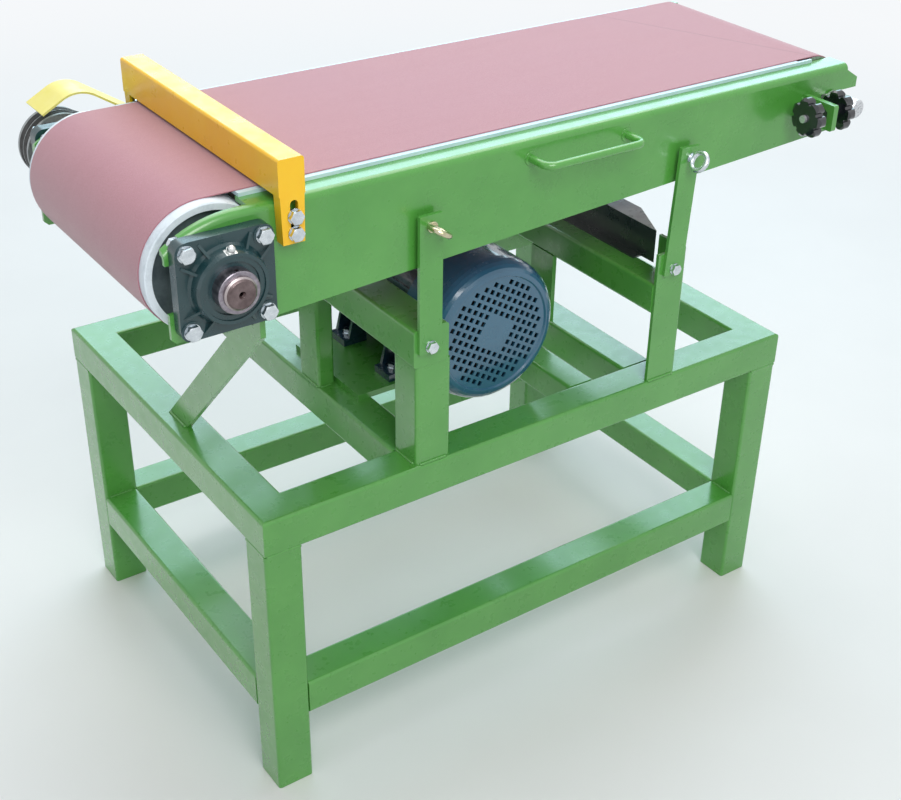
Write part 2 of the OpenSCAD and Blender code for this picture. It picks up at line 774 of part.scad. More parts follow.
// Round bar bent into a D, its two feet on the side plate
module lift_handle() seat() color("forestgreen") translate([handle_x, head_y, handle_z]) {
    r = handle_d / 2;
    bend = handle_d * 1.2;
    for (x = [0, handle_l]) translate([x, 0, 0]) {
        rod_y(r, -handle_out + bend, handle_out - bend);
        rod_y(r * 1.7, -2, 2);
    }
    translate([0, -handle_out, 0]) rod_x(r, bend, handle_l - 2 * bend);
    for (s = [[bend, 180], [handle_l - bend, 270]])
        translate([s[0], bend - handle_out, 0]) rotate([0, 0, s[1]])
            rotate_extrude(angle = 90) translate([bend, 0]) circle(r);
}

// Bar welded to a side plate that the tension rod passes through
module tension_bracket() difference() {
    along_x(bracket_x, bracket_t) translate([-bracket_out, idler_z - bracket_h * 0.55])
        rounded(bracket_out, bracket_h, 3);
    translate([0, -rod_out, idler_z]) rod_x(rod_d / 2 + run_fit, bracket_x - over, bracket_t + 2 * over);
}
module tension_brackets() seat() color("forestgreen") {
    translate([0, head_y, 0]) tension_bracket();
    translate([0, head_y2, 0]) mirror([0, 1, 0]) tension_bracket();
}

// Sanding belt, drum and its bearings

lap = 1.2;                                   // overlap of a loop's straight runs and its bends

// Closed loop round two circles in X and Z, from a section drawn outwards from its inner face
module loop(c1, r1, c2, r2) {
    d = c2 - c1;
    base = atan2(d[1], d[0]);
    lift = acos((r1 - r2) / norm(d));
    run = norm(d) * sin(lift);
    for (e = [[c1, r1, base + lift, 360 - 2 * lift], [c2, r2, base - lift, 2 * lift]])
        translate([e[0][0], 0, e[0][1]]) rotate([90, 0, 0]) rotate([0, 0, e[2]])
            rotate_extrude(angle = e[3], $fn = 128) translate([e[1], 0]) children();
    for (s = [-1, 1]) {
        a = base + s * lift;
        translate([c1[0] + r1 * cos(a), 0, c1[1] + r1 * sin(a)]) rotate([0, -a, 0])
            translate([0, 0, (s > 0 ? -run : 0) - lap]) linear_extrude(run + 2 * lap) children();
    }
}

tuck = 0.05;                                 // straight runs lie this much inside the true tangent

// Outline of a belt round two circles in X and Z
module loop_outline(c1, r1, c2, r2) {
    d = c2 - c1;
    base = atan2(d[1], d[0]);
    lift = acos((r1 - r2) / norm(d));
    up = [cos(base + lift), sin(base + lift)];
    down = [cos(base - lift), sin(base - lift)];
    translate(c1) circle(r1, $fn = 128);
    translate(c2) circle(r2, $fn = 128);
    polygon([c1 + (r1 - tuck) * down, c2 + (r2 - tuck) * down,
        c2 + (r2 - tuck) * up, c1 + (r1 - tuck) * up]);
}

module belt_loop(grow) loop_outline([drum_x, drum_z], drum_r + belt_gap + grow,
    [idler_x, idler_z], idler_r + belt_gap + grow);

module sanding_belt() seat() color("rosybrown") along_y(belt_y, belt_w) difference() {
    belt_loop(belt_t);
    belt_loop(0);
}

hub_r = 40;

module drive_drum() seat() color("whitesmoke") translate([drum_x, drum_y, drum_z]) turn_y() {
    difference() {
        translate([drum_r - drum_wall, 0]) square([drum_wall, drum_l]);
        translate([drum_r, 0]) rotate(45) square(2, center = true);
        translate([drum_r, drum_l]) rotate(45) square(2, center = true);
    }
    for (y = [disc_in, drum_l - disc_in - disc_t])
        translate([shaft_r + run_fit, y]) square([drum_r - drum_wall - shaft_r, disc_t]);
    for (y = [disc_in - 8, drum_l - disc_in - disc_t])
        translate([shaft_r + run_fit, y]) square([hub_r - shaft_r, disc_t + 8]);
}

shaft_y = head_y - shaft_out;
journal_end = head_y2 + inner_ring_out + 2;
chamfer = 4.5;

module drum_shaft() seat() color("dimgray") translate([drum_x, 0, drum_z]) difference() {
    turn_y() polygon([
        [0, shaft_y], [shaft_r - chamfer, shaft_y], [shaft_r, shaft_y + chamfer],
        [shaft_r, journal_end], [shaft_end_d / 2, journal_end],
        [shaft_end_d / 2, pulley_y + pulley_w], [shaft_end_d / 2 - 2, pulley_y + pulley_w + 2],
        [0, pulley_y + pulley_w + 2]
    ]);
    turn_y() polygon([[0, shaft_y - over], [5, shaft_y - over], [5, shaft_y],
        [2.5, shaft_y + 4], [2.5, shaft_y + 10], [0, shaft_y + 12]]);
}

boss_r = boss_d / 2;
ring_r = inner_ring_d / 2;
seal_r = insert_d / 2 - 7;

// Four-bolt flange bearing with its mounting face at y = 0, standing out to -Y
module housing() {
    corner = (flange_sq - flange_pitch) / 2;
    rib_end = flange_sq / 2 + 3;
    difference() {
        union() {
            translate([-flange_sq / 2, 0, -flange_sq / 2]) along_y(-flange_t, flange_t)
                rounded(flange_sq, flange_sq, corner);
            turn_y() polygon([[0, 0], [boss_r + 5, 0], [boss_r + 5, -flange_t],
                [boss_r + 2, -flange_t - 4], [boss_r, -boss_h + 5], [boss_r - 2, -boss_h],
                [0, -boss_h]]);
            for (q = [0:90:270], a = [-15, 15]) rotate([0, q + 45 + a, 0])
                translate([0, 0, -1.8]) linear_extrude(3.6) polygon([[boss_r - 4, 1 - flange_t],
                    [rib_end, 1 - flange_t], [rib_end, -flange_t - 1], [boss_r + 1, -flange_t - 9],
                    [boss_r - 4, -flange_t - 9]]);
            for (sx = [-1, 1], sz = [-1, 1])
                translate([sx * flange_pitch / 2, 0, sz * flange_pitch / 2]) rod_y(corner, -flange_t - 1, 2);
        }
        rod_y(insert_d / 2, -boss_h - over, boss_h + 2 * over);
        for (sx = [-1, 1], sz = [-1, 1])
            translate([sx * flange_pitch / 2, 0, sz * flange_pitch / 2])
                rod_y(flange_bolt_d / 2 + run_fit, -flange_t - 3, flange_t + 6);
    }
    // Outer ring and seal of the insert
    turn_y() polygon([[seal_r, -4], [insert_d / 2 - run_fit, -4], [insert_d / 2 - run_fit, 2 - boss_h],
        [seal_r, 2 - boss_h], [seal_r, 5 - boss_h], [ring_r + run_fit, 5 - boss_h],
        [ring_r + run_fit, 8 - boss_h], [seal_r, 8 - boss_h]]);
    // Grease nipple on the boss
    translate([0, -boss_h + 7, boss_r - 2.5]) rotate([35, 0, 0]) {
        cylinder(d = 13, h = 5, $fn = 6);
        cylinder(d = 10.5, h = 8);
        translate([0, 0, 8]) sphere(d = 10.5);
    }
}

module at_housings() {
    translate([drum_x, head_y, drum_z]) children();
    translate([drum_x, head_y2, drum_z]) mirror([0, 1, 0]) children();
}

module bearing_housings() seat() color("darkslategray") at_housings() housing();

module bearing_inner_rings() seat() color("silver") at_housings() difference() {
    turn_y() polygon([[shaft_r + run_fit, -2], [ring_r, -2], [ring_r, 1 - inner_ring_out],
        [ring_r - 1, -inner_ring_out], [shaft_r + run_fit, -inner_ring_out]]);
    translate([0, -inner_ring_out + 6, 0]) cylinder(d = 6, h = ring_r + over);
}

module bearing_bolts() seat() color("gainsboro") at_housings() for (sx = [-1, 1], sz = [-1, 1])
    translate([sx * flange_pitch / 2, 0, sz * flange_pitch / 2])
        bolt_y(flange_bolt_d, -flange_t - 1, plate_t, 1.5);

// Idler and belt tension

idler_hub_r = idler_brg_d / 2 + 8;

module idler_roller() seat() color("lightgray") translate([idler_x, idler_y, idler_z]) turn_y() {
    translate([idler_r - idler_wall, 0]) square([idler_wall, idler_l]);
    for (y = [0, idler_l - idler_brg_w - 4]) translate([idler_brg_d / 2 + run_fit, y])
        square([idler_r - idler_wall - idler_brg_d / 2, idler_brg_w + 4]);
}

module idler_bearings() seat() color("silver")
    for (y = [idler_y + 2, idler_y + idler_l - idler_brg_w - 2])
        translate([idler_x, y, idler_z]) turn_y() difference() {
            translate([idler_shaft_d / 2 + run_fit, 0])
                square([idler_brg_d / 2 - idler_shaft_d / 2 - run_fit, idler_brg_w]);
            for (h = [-over, idler_brg_w - 1.5]) translate([idler_shaft_d / 2 + 5, h])
                square([idler_brg_d / 2 - idler_shaft_d / 2 - 9, 1.5 + over]);
        }

idler_shaft_y = head_y - idler_shaft_out;
idler_shaft_l = head_w + 2 * idler_shaft_out;

// Shaft with two flats where it slides in the side plates
module idler_shaft() seat() color("silver") difference() {
    translate([idler_x, idler_shaft_y, idler_z]) turn_y() polygon([
        [0, 0], [idler_shaft_d / 2 - 2, 0], [idler_shaft_d / 2, 2],
        [idler_shaft_d / 2, idler_shaft_l - 2], [idler_shaft_d / 2 - 2, idler_shaft_l],
        [0, idler_shaft_l]]);
    for (y = [head_y - 3, head_y2 - plate_t - 3], s = [-1, 1])
        translate([idler_x, y + plate_t / 2 + 3, idler_z + s * idler_flat])
            cube([idler_shaft_d + 2, plate_t + 6, idler_flat], center = true);
    for (y = [rod_y1, rod_y2]) translate([0, y, idler_z])
        rod_x(rod_d / 2 + run_fit, idler_x - idler_shaft_d, idler_shaft_d + 8);
}

module tension_rods() seat() color("silver") for (y = [rod_y1, rod_y2])
    translate([0, y, idler_z]) rod_x(rod_d / 2, rod_left_x, idler_x + 6 - rod_left_x);

lobe_r = knob_d * 0.135;

module knob_outline() difference() {
    union() {
        circle(knob_d / 2 - lobe_r);
        for (i = [0:knob_lobes - 1]) rotate(i * 360 / knob_lobes - 90)
            translate([knob_d / 2 - lobe_r, 0]) circle(lobe_r);
    }
    for (i = [0:knob_lobes - 1]) rotate((i + 0.5) * 360 / knob_lobes - 90)
        translate([knob_d / 2 + lobe_r * 0.35, 0]) circle(lobe_r * 0.95);
}

// Star knob on an X axis, its steel boss from x = 0 and its grip to the right of it
module star_knob() rotate([0, 90, 0]) difference() {
    union() {
        cylinder(r = rod_d * 0.85, h = knob_boss + 1);
        intersection() {
            translate([0, 0, knob_boss]) linear_extrude(knob_t) knob_outline();
            translate([0, 0, knob_boss]) rotate_extrude() polygon([[0, 0], [knob_d / 2 - 3, 0],
                [knob_d / 2, 3], [knob_d / 2, knob_t - 5], [knob_d / 2 - 5, knob_t - 1],
                [knob_d / 4, knob_t], [0, knob_t]]);
        }
    }
    translate([0, 0, -over]) cylinder(r = rod_d / 2 + run_fit, h = knob_boss + knob_t + 2 * over);
}

module knob_pair(y) translate([0, y, idler_z]) {
    translate([bracket_x + bracket_t + seat_gap, 0, 0]) star_knob();
    translate([bracket_x - seat_gap - jam_nut, 0, 0]) mirror([1, 0, 0]) star_knob();
    translate([bracket_x - seat_gap - jam_nut, 0, 0]) rotate([0, 90, 0]) difference() {
        cylinder(d = rod_d * bolt_af / cos(30), h = jam_nut, $fn = 6);
        translate([0, 0, -over]) cylinder(r = rod_d / 2 + run_fit, h = jam_nut + 2 * over);
    }
}
module star_knobs_front() seat() color("#222222") knob_pair(rod_y1);
module star_knobs_rear() seat() color("#222222") knob_pair(rod_y2);

// Motor

// Places a motor piece drawn about the Y axis
module at_motor() translate([motor_x, 0, motor_z]) children();

foot_t2 = 12;
foot_l = 44;
gusset_t = 6;

module motor_frame() seat() color("slategray") at_motor() difference() {
    union() {
        along_y(frame_y, frame_l) difference() {
            union() {
                circle(frame_r);
                for (i = [0:fins - 1]) rotate((i + 0.5) * 360 / fins)
                    translate([0, -fin_t / 2]) square([fin_r, fin_t]);
            }
            translate([-fin_r, -fin_r - 40]) square([2 * fin_r, 40 + fin_r - motor_h + foot_t2 / 2]);
        }
        for (s = [-1, 1], y = [-1, 1]) translate([0, foot_mid_y + y * foot_b / 2 - foot_l / 2, 0]) {
            translate([s * foot_a / 2 - foot_l / 2, 0, -motor_h]) cube([foot_l, foot_l, foot_t2]);
            for (e = [0, foot_l - gusset_t]) along_y(e, gusset_t)
                polygon([[s * (foot_a / 2 + foot_t2), foot_t2 - motor_h - 1],
                    [s * (foot_a + gusset_t - foot_l) / 2, foot_t2 - motor_h - 1],
                    [s * frame_r * 0.56, -frame_r * 0.78], [s * frame_r * 0.91, -frame_r * 0.37]]);
        }
        translate([-34, frame_y + frame_l / 2 - 40, frame_r - 6]) cube([68, 80, fin_r - frame_r + 6]);
    }
    rod_y(frame_bore_r, frame_y - over, frame_l + 2 * over);
    for (sx = [-1, 1], sy = [-1, 1])
        translate([sx * foot_a / 2, foot_mid_y + sy * foot_b / 2, -motor_h - over])
            cylinder(d = foot_bolt_d + 1, h = foot_t2 + 2 * over);
}

bearing_bore = motor_shaft_d / 2 + 2;
cover_in = cover_r - cover_t;

// Front and drive-end shields that close the frame and hold the rotor's bearings
module motor_end_shields() seat() color("slategray") at_motor() {
    turn_y() polygon([[bearing_bore, frame_y - 12], [32, frame_y - 12], [36, frame_y - 8],
        [cover_in - seat_gap, frame_y - 8], [cover_in - seat_gap, frame_y - seat_gap],
        [bearing_bore, frame_y - seat_gap]]);
    turn_y() polygon([[bearing_bore, frame_y2 + seat_gap], [frame_r + 6, frame_y2 + seat_gap],
        [frame_r + 6, frame_y2 + 10], [frame_r - 6, frame_y2 + 16], [58, frame_y2 + shield_l - 14],
        [50, frame_y2 + shield_l], [bearing_bore, frame_y2 + shield_l]]);
    for (a = [45:90:315]) rotate([0, a, 0]) translate([frame_r - 8, frame_y2 + 14, 0])
        rotate([-90, 0, 0]) cylinder(d = 14, h = 7, $fn = 6);
}

rotor_r = 50;

module motor_stator() seat() color("peru") at_motor() turn_y() {
    translate([rotor_r + 1, frame_y + 40]) square([frame_bore_r - rotor_r - 1 - seat_gap, frame_l - 80]);
    translate([rotor_r + 8, frame_y + 18]) square([frame_bore_r - rotor_r - 20, frame_l - 36]);
}

rotor_y = motor_y + 16;

module motor_rotor() seat() color("silver") at_motor() turn_y() polygon([
    [0, rotor_y], [10, rotor_y], [10, frame_y - 20], [motor_shaft_d / 2, frame_y - 20],
    [motor_shaft_d / 2, frame_y + 30], [rotor_r, frame_y + 30], [rotor_r, frame_y2 - 30],
    [motor_shaft_d / 2, frame_y2 - 30], [motor_shaft_d / 2, pulley_y + pulley_w + 1],
    [0, pulley_y + pulley_w + 1]
]);

// Section of the fan cover: its straight wall, its rounded shoulder and the rim of its face
module cover_section() {
    function bow(r, y0, y1, a) = [cover_face_r + (r - cover_face_r) * sin(a), y0 + (y1 - y0) * (1 - cos(a))];
    dome_y = motor_y + cover_dome;
    polygon(concat(
        [[grille_r, motor_y + 3], [grille_r + 2, motor_y]],
        [for (a = [0:15:90]) bow(cover_r, motor_y, dome_y, a)],
        [[cover_r, frame_y - seat_gap], [cover_in, frame_y - seat_gap]],
        [for (a = [90:-15:0]) bow(cover_in, motor_y + cover_t, dome_y, a)],
        [[grille_r, motor_y + 3 + cover_t]]
    ));
}

grille_ring = grille_r / grille_pitch - 0.55;
grille_n = ceil(grille_ring);

module fan_cover() seat() color("steelblue") at_motor() {
    turn_y() cover_section();
    along_y(motor_y + 3, cover_t) rotate(-grille_turn) difference() {
        circle(grille_r + eps);
        for (i = [0.5 - grille_n:grille_n], k = [0.5 - grille_n:grille_n])
            if (norm([i, k]) < grille_ring && max(abs(i), abs(k)) > (grille_blank - 1) / 2)
                translate([i, k] * grille_pitch) square(grille_hole, center = true);
    }
}

fan_y = motor_y + 26;
fan_l = 40;

module cooling_fan() seat() color("#303030") at_motor() difference() {
    union() {
        turn_y() polygon([[0, fan_y], [22, fan_y], [22, fan_y + fan_l - 4],
            [cover_in * 0.75, fan_y + fan_l - 3], [cover_in * 0.75, fan_y + fan_l], [0, fan_y + fan_l]]);
        for (a = [0:360 / 7:359]) rotate([0, a, 0]) translate([18, fan_y + 3, -1.5])
            cube([cover_in * 0.79 - 18, fan_l - 4, 3]);
    }
    rod_y(10 + run_fit, fan_y - over, fan_l + 2 * over);
}

box_w = 92;
box_l = 96;
box_h = 44;
gland_d = box_h * 0.55;

module terminal_box() seat() color("slategray") at_motor()
    translate([-box_w / 2, foot_mid_y - box_l / 2, fin_r + seat_gap]) {
        linear_extrude(box_h) rounded(box_w, box_l, 8);
        translate([-2, -2, box_h]) linear_extrude(8) rounded(box_w + 4, box_l + 4, 9);
        for (x = [9, box_w - 9], y = [9, box_l - 9]) translate([x, y, box_h + 8])
            cylinder(d = 8, h = 3, $fn = 6);
        translate([box_w, box_l / 2, box_h / 2]) rotate([0, 90, 0]) {
            cylinder(d = gland_d * 1.2, h = gland_d / 3, $fn = 6);
            cylinder(d = gland_d, h = gland_d * 0.75);
        }
    }

module motor_bolts() seat() color("gainsboro") at_motor_feet() {
    z0 = stand_h + base_t + foot_t2;
    translate([0, 0, stand_h - 8]) cylinder(d = foot_bolt_d, h = base_t + foot_t2 + 14);
    translate([0, 0, z0]) cylinder(d = foot_bolt_d * 2, h = 1.5);
    translate([0, 0, z0 + 1.5]) cylinder(d = foot_bolt_d * bolt_af / cos(30), h = 6.5, $fn = 6);
    translate([0, 0, stand_h - 8]) cylinder(d = foot_bolt_d * bolt_af / cos(30), h = 8, $fn = 6);
}

// Belt drive

vee_in = vbelt_h * tan(vee);
groove_half = vbelt_w / 2 + belt_gap / cos(vee) + 0.1;
groove_depth = vbelt_h + 2;

// Pulley on the Y axis with two V grooves, radius r, for a shaft of radius bore
module pulley(r, bore) difference() {
    translate([0, pulley_y, 0]) turn_y() difference() {
        translate([bore + run_fit, 0]) square([r - bore - run_fit, pulley_w]);
        for (k = [-1, 1]) translate([r, pulley_w / 2 + k * vbelt_pitch / 2])
            polygon([[over, -groove_half - over * tan(vee)], [over, groove_half + over * tan(vee)],
                [-groove_depth, groove_half - groove_depth * tan(vee)],
                [-groove_depth, groove_depth * tan(vee) - groove_half]]);
    }
    for (y = [pulley_y - over, pulley_y + pulley_w - 5]) difference() {
        rod_y(r - groove_depth - 5, y, 5 + over);
        rod_y(bore + 9, y - over, 5 + 3 * over);
    }
}

module drum_pulley() seat() color("gray") translate([drum_x, 0, drum_z])
    pulley(pulley_r, shaft_end_d / 2);
module motor_pulley() seat() color("gray") at_motor() pulley(motor_pulley_r, motor_shaft_d / 2);

// Section of a V-belt: radius outwards from its inner face, depth about its middle
module vbelt_section() polygon([[0, vee_in - vbelt_w / 2], [vbelt_h, -vbelt_w / 2],
    [vbelt_h, vbelt_w / 2], [0, vbelt_w / 2 - vee_in]]);

module v_belts() seat() color("#202020") for (k = [-1, 1])
    translate([0, vbelt_y + k * vbelt_pitch / 2, 0])
        loop([drum_x, drum_z], pulley_r - vbelt_h, [motor_x, motor_z], motor_pulley_r - vbelt_h)
            vbelt_section();

guard_x = drum_x + 23;                       // crest of the guard strip
guard_left = -61;                            // free end of the guard strip
guard_right = 130;                           // fixed end of the guard strip
slope_l = 29;
slope_r = 33;
guard_zc = guard_z - guard_r;

// Outline of the strip: a crest between two straight parts
module guard_outline() {
    wide = 4;
    translate([guard_x, guard_zc]) intersection() {
        difference() {
            circle(guard_r, $fn = 128);
            circle(guard_r - guard_t, $fn = 128);
        }
        polygon([[0, 0],
            [-2 * guard_r * sin(slope_l + wide), 2 * guard_r * cos(slope_l + wide)],
            [2 * guard_r * sin(slope_r + wide), 2 * guard_r * cos(slope_r + wide)]]);
    }
    left_l = (guard_x - guard_r * sin(slope_l) - guard_left) / cos(slope_l);
    right_l = (guard_right - guard_x - guard_r * sin(slope_r)) / cos(slope_r);
    translate([guard_x, guard_zc]) rotate(slope_l)
        translate([-left_l, guard_r - guard_t - tuck]) square([left_l + 3, guard_t]);
    translate([guard_x, guard_zc]) rotate(-slope_r)
        translate([-3, guard_r - guard_t - tuck]) square([right_l + 3, guard_t]);
}

// Bent strip over the drum's pulley, welded to the rear side plate by a tongue
module belt_guard() seat() color("khaki") {
    along_y(guard_y, guard_w) guard_outline();
    intersection() {
        along_y(head_y2, guard_y - head_y2 + over) guard_outline();
        translate([guard_right - 34, head_y2 - over, guard_zc - guard_r])
            cube([60, guard_y, 3 * guard_r]);
    }
}

// Fence

fence_z = platen_z + fence_gap;
fence_top = platen_z + fence_up;
cheek_wall = 4;
fence_bolt_x = fence_x + fence_w / 2 + 2;
slot_w = fence_bolt_d + 0.6;
slot_low = fence_bolt_z - slot_w / 2 - 3.8;
slot_top = slot_low + slot_l;

// Outline of a cheek, narrower at its lower end, drawn in by d at the sides
module cheek_outline(d) {
    mid = fence_x + fence_w / 2;
    polygon([[mid - cheek_w / 2 + d, cheek_z], [mid + cheek_w / 2 - d, cheek_z],
        [mid + fence_w / 2 - d, fence_top - fence_wall], [mid - fence_w / 2 + d, fence_top - fence_wall]]);
}

// Folded cheek in front of a side plate whose outer face is at y = 0
module cheek() difference() {
    along_y(-cheek_d, cheek_d - seat_gap) cheek_outline(0);
    along_y(cheek_wall - cheek_d, cheek_d) intersection() {
        cheek_outline(cheek_wall);
        translate([0, cheek_z + cheek_wall]) square([2 * fence_x + fence_w, fence_top]);
    }
    translate([fence_bolt_x, 0, 0]) {
        translate([-slot_w / 2, -cheek_d - over, slot_low + slot_w / 2])
            cube([slot_w, cheek_wall + 2 * over, slot_top - slot_low - slot_w]);
        for (z = [slot_low + slot_w / 2, slot_top - slot_w / 2]) translate([0, 0, z])
            rod_y(slot_w / 2, -cheek_d - over, cheek_wall + 2 * over);
    }
}

module fence() seat() color("gold") {
    translate([fence_x, 0, fence_z]) along_y(head_y - cheek_d, head_w + 2 * cheek_d) difference() {
        union() {
            rounded(fence_w, fence_top - fence_z, 4);
            square([fence_w, 8]);
        }
        translate([fence_wall, -over])
            square([fence_w - 2 * fence_wall, fence_top - fence_z - fence_wall + over]);
    }
    translate([0, head_y, 0]) cheek();
    translate([0, head_y2, 0]) mirror([0, 1, 0]) cheek();
}

module fence_bolts() seat() color("gainsboro") for (z = [0, fence_bolt_pitch])
    translate([fence_bolt_x, 0, fence_bolt_z + z]) {
        translate([0, head_y, 0]) bolt_y(fence_bolt_d, -cheek_d - seat_gap, plate_t, 1.5);
        translate([0, head_y2, 0]) mirror([0, 1, 0])
            bolt_y(fence_bolt_d, -cheek_d - seat_gap, plate_t, 1.5);
    }

leg_front_left();
leg_front_right();
leg_rear_left();
leg_rear_right();
rail_upper_front();
rail_upper_rear();
rail_upper_left();
rail_upper_right();
rail_lower_front();
rail_lower_rear();
rail_lower_left();
rail_lower_right();
cross_rail_left();
cross_rail_right();
motor_rail();
motor_base_plate();
post_front_left();
post_front_right();
post_rear_left();
post_rear_right();
beam_left();
beam_right();
head_brace();
mitred_channel();
links();
link_bolts();
eye_bolt_left();
eye_bolt_right();
side_plate_front();
side_plate_rear();
platen();
head_ties();
lift_handle();
tension_brackets();
sanding_belt();
drive_drum();
drum_shaft();
bearing_housings();
bearing_inner_rings();
bearing_bolts();
idler_roller();
idler_shaft();
idler_bearings();
tension_rods();
star_knobs_front();
star_knobs_rear();
motor_frame();
motor_end_shields();
motor_stator();
motor_rotor();
fan_cover();
cooling_fan();
terminal_box();
motor_bolts();
drum_pulley();
motor_pulley();
v_belts();
belt_guard();
fence();
fence_bolts();
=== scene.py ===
import math
import random

import bmesh
import bpy
from mathutils import Matrix, Vector


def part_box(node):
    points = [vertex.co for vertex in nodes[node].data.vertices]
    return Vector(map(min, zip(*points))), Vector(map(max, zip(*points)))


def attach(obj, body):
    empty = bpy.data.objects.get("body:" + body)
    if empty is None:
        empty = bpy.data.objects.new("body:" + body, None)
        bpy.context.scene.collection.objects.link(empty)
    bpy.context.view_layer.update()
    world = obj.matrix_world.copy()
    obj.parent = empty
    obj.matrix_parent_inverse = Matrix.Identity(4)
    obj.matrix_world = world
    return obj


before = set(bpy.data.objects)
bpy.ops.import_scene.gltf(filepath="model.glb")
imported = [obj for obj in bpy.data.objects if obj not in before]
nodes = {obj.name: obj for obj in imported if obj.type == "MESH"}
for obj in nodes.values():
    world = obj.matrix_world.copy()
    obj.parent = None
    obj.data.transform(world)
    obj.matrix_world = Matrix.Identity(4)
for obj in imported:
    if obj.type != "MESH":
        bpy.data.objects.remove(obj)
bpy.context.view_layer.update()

MM = 0.001

# The stand's left front floor corner, from which places in millimetres are measured
corner = Vector(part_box("leg_front_left")[0])


def P(x, y, z):
    """A place in the scene, given in millimetres from the stand's corner."""
    return Vector((x, y, z)) / 1000 + corner


def box_mm(node):
    """Lowest and highest corner of a node, in the same millimetres."""
    return [(Vector(c) - corner) * 1000 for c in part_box(node)]


def srgb(r, g, b):
    """A colour from its levels of 0 to 255 on a screen."""
    def lin(v):
        v /= 255
        return v / 12.92 if v <= 0.04045 else ((v + 0.055) / 1.055) ** 2.4
    return (lin(r), lin(g), lin(b), 1)


# Camera at the photograph's viewpoint, with its picture measured in pixels

PICTURE_W, PICTURE_H = 901, 800
FOCAL = 1418.315
CENTRE_X, CENTRE_Y = 491.639, 402.020
SENSOR = 36
VIEWPOINT = P(-707.281, -1449.220, 1687.271)
TURN = Vector((2.043930, -0.647087, 0.403664))   # axis of the camera's turn, as long as its angle

cam_data = bpy.data.cameras.new("camera")
cam = bpy.data.objects.new("camera", cam_data)
bpy.context.scene.collection.objects.link(cam)
bpy.context.scene.camera = cam
world_to_cam = Matrix.Rotation(TURN.length, 3, TURN.normalized())
cam_axes = world_to_cam.transposed() @ Matrix(((1, 0, 0), (0, -1, 0), (0, 0, -1)))
cam.matrix_world = Matrix.Translation(VIEWPOINT) @ cam_axes.to_4x4()
cam_data.sensor_width = SENSOR
cam_data.lens = SENSOR * FOCAL / PICTURE_W
cam_data.shift_x = (PICTURE_W / 2 - CENTRE_X) / PICTURE_W
cam_data.shift_y = (CENTRE_Y - PICTURE_H / 2) / PICTURE_W
cam_data.clip_start = 0.05
cam_data.clip_end = 60


# Node helpers for procedural materials

class Mat:
    """A material on the object's own coordinates, and the nodes that its pattern is made of."""

    def __init__(self, name, color=(0.5, 0.5, 0.5, 1), rough=0.5, metal=0.0):
        self.m = bpy.data.materials.new(name)
        self.m.use_nodes = True
        self.t = self.m.node_tree
        self.b = self.t.nodes["Principled BSDF"]
        self.b.inputs["Base Color"].default_value = color
        self.b.inputs["Roughness"].default_value = rough
        self.b.inputs["Metallic"].default_value = metal
        self.m.diffuse_color = color
        geo = self.t.nodes.new("ShaderNodeTexCoord")
        self.pos = geo.outputs["Object"]

    def n(self, kind, **props):
        node = self.t.nodes.new(kind)
        for k, v in props.items():
            if k in node.inputs:
                node.inputs[k].default_value = v
            else:
                setattr(node, k, v)
        return node

    def link(self, a, b):
        self.t.links.new(a, b)

    def feed(self, socket, value):
        """A plain value, or the output of another node, into a socket."""
        if isinstance(value, (int, float, tuple)):
            socket.default_value = value
        else:
            self.link(value, socket)

    def noise(self, scale, detail=3, rough=0.55, stretch=None):
        node = self.n("ShaderNodeTexNoise", Scale=scale, Detail=detail, Roughness=rough)
        where = self.pos
        if stretch:
            mapping = self.n("ShaderNodeMapping", Scale=stretch)
            self.link(self.pos, mapping.inputs["Vector"])
            where = mapping.outputs[0]
        self.link(where, node.inputs["Vector"])
        return node.outputs["Fac"]

    def ramp(self, fac, a, b, lo=0.0, hi=1.0):
        """fac, with a to b spread over lo to hi and held at the ends."""
        node = self.n("ShaderNodeMapRange", clamp=True)
        for k, v in (("From Min", a), ("From Max", b), ("To Min", lo), ("To Max", hi)):
            node.inputs[k].default_value = v
        self.link(fac, node.inputs["Value"])
        return node.outputs[0]

    def math(self, op, a, b=None):
        node = self.n("ShaderNodeMath", operation=op)
        self.feed(node.inputs[0], a)
        if b is not None:
            self.feed(node.inputs[1], b)
        return node.outputs[0]

    def product(self, first, *others):
        for other in others:
            first = self.math("MULTIPLY", first, other)
        return first

    def mix(self, fac, a, b):
        node = self.n("ShaderNodeMix", data_type="RGBA")
        for socket, v in ((node.inputs[0], fac), (node.inputs[6], a), (node.inputs[7], b)):
            self.feed(socket, v)
        return node.outputs[2]

    def cloud(self, scale, lo=0.0, hi=1.0, detail=3, rough=0.55, stretch=None):
        """A soft pattern of values from lo to hi."""
        return self.ramp(self.noise(scale, detail, rough, stretch), 0.3, 0.7, lo, hi)

    def color(self, out):
        self.link(out, self.b.inputs["Base Color"])

    def rough(self, out):
        self.link(out, self.b.inputs["Roughness"])

    def metal(self, out):
        self.link(out, self.b.inputs["Metallic"])

    def bump(self, height, strength=0.3, dist=0.001, under=None):
        node = self.n("ShaderNodeBump", Strength=strength, Distance=dist)
        self.link(height, node.inputs["Height"])
        if under is not None:
            self.link(under, node.inputs["Normal"])
        self.link(node.outputs[0], self.b.inputs["Normal"])
        return node.outputs[0]

    def coat(self, weight, rough):
        self.b.inputs["Coat Weight"].default_value = weight
        self.b.inputs["Coat Roughness"].default_value = rough

    def xyz(self):
        node = self.n("ShaderNodeSeparateXYZ")
        self.link(self.pos, node.inputs[0])
        return node.outputs

    def length(self, a, b):
        """Length of the diagonal over a and b."""
        return self.math("SQRT", self.math("ADD", self.product(a, a), self.product(b, b)))

    def radius(self, axis):
        """Distance from the line along Y through the point axis."""
        x, _, z = self.xyz()
        return self.length(self.math("SUBTRACT", x, axis.x), self.math("SUBTRACT", z, axis.z))


